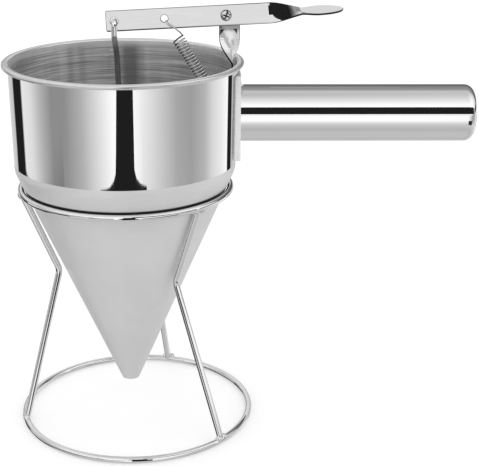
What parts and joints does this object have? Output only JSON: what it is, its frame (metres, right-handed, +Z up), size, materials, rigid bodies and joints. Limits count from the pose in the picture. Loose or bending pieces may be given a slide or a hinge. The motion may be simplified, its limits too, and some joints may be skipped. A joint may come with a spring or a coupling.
{
  "type": "batter dispenser",
  "caption": "Steel funnel with a side handle and a sprung thumb lever that lifts a stopper rod from its outlet, resting in a wire ring stand.",
  "frame": {"origin": "the funnel's axis on the table, under the stand", "axes": "+X along the handle away from the funnel, +Z up the funnel's axis, +Y to the back of the lever"},
  "size_m": [0.2871, 0.15, 0.2668],
  "materials": {
    "chrome_wire": "bright plated wire",
    "polished_sheet": "mirror polished stainless steel outside, satin inside",
    "satin_sheet": "satin stainless steel",
    "strip_steel": "polished stainless steel strip",
    "fastener_steel": "plain stainless steel",
    "spring_steel": "bright drawn spring wire"
  },
  "bodies": {
    "stand": {"foot_ring": "chrome_wire", "top_ring": "chrome_wire", "leg_rear": "chrome_wire", "leg_left": "chrome_wire", "leg_right": "chrome_wire"},
    "funnel": {"bowl": "polished_sheet", "cone": "satin_sheet", "handle_saddle": "satin_sheet", "handle_inner_cap": "satin_sheet", "handle_tube": "polished_sheet", "handle_end_cap": "polished_sheet", "pivot_bracket": "strip_steel", "pivot_screw": "fastener_steel", "pivot_washer": "fastener_steel", "pivot_nut": "fastener_steel", "return_spring": "spring_steel"},
    "lever": {"lever": "strip_steel"},
    "stopper": {"stopper_rod": "chrome_wire", "stopper_plug": "fastener_steel"}
  },
  "joints": [
    {"name": "funnel_lift", "type": "slide", "parent": "stand", "child": "funnel", "axis": [0, 0, 1], "range_m": [0, 0.14]},
    {"name": "lever_pivot", "type": "hinge", "parent": "funnel", "child": "lever", "pos_m": [0.0616, 0, 0.25916], "axis": [0, 1, 0], "range_deg": [0, 12], "stiffness_Nm_per_rad": 0.35, "springref_deg": -20.05, "deforming": ["return_spring"]},
    {"name": "stopper_hook", "type": "hinge", "parent": "lever", "child": "stopper", "pos_m": [-0.0048, 0, 0.25557], "axis": [0, 1, 0], "range_deg": [-12, 0]}
  ],
  "couplings": [
    {"joint": "stopper_hook", "follows": "lever_pivot", "ratio": -1}
  ]
}
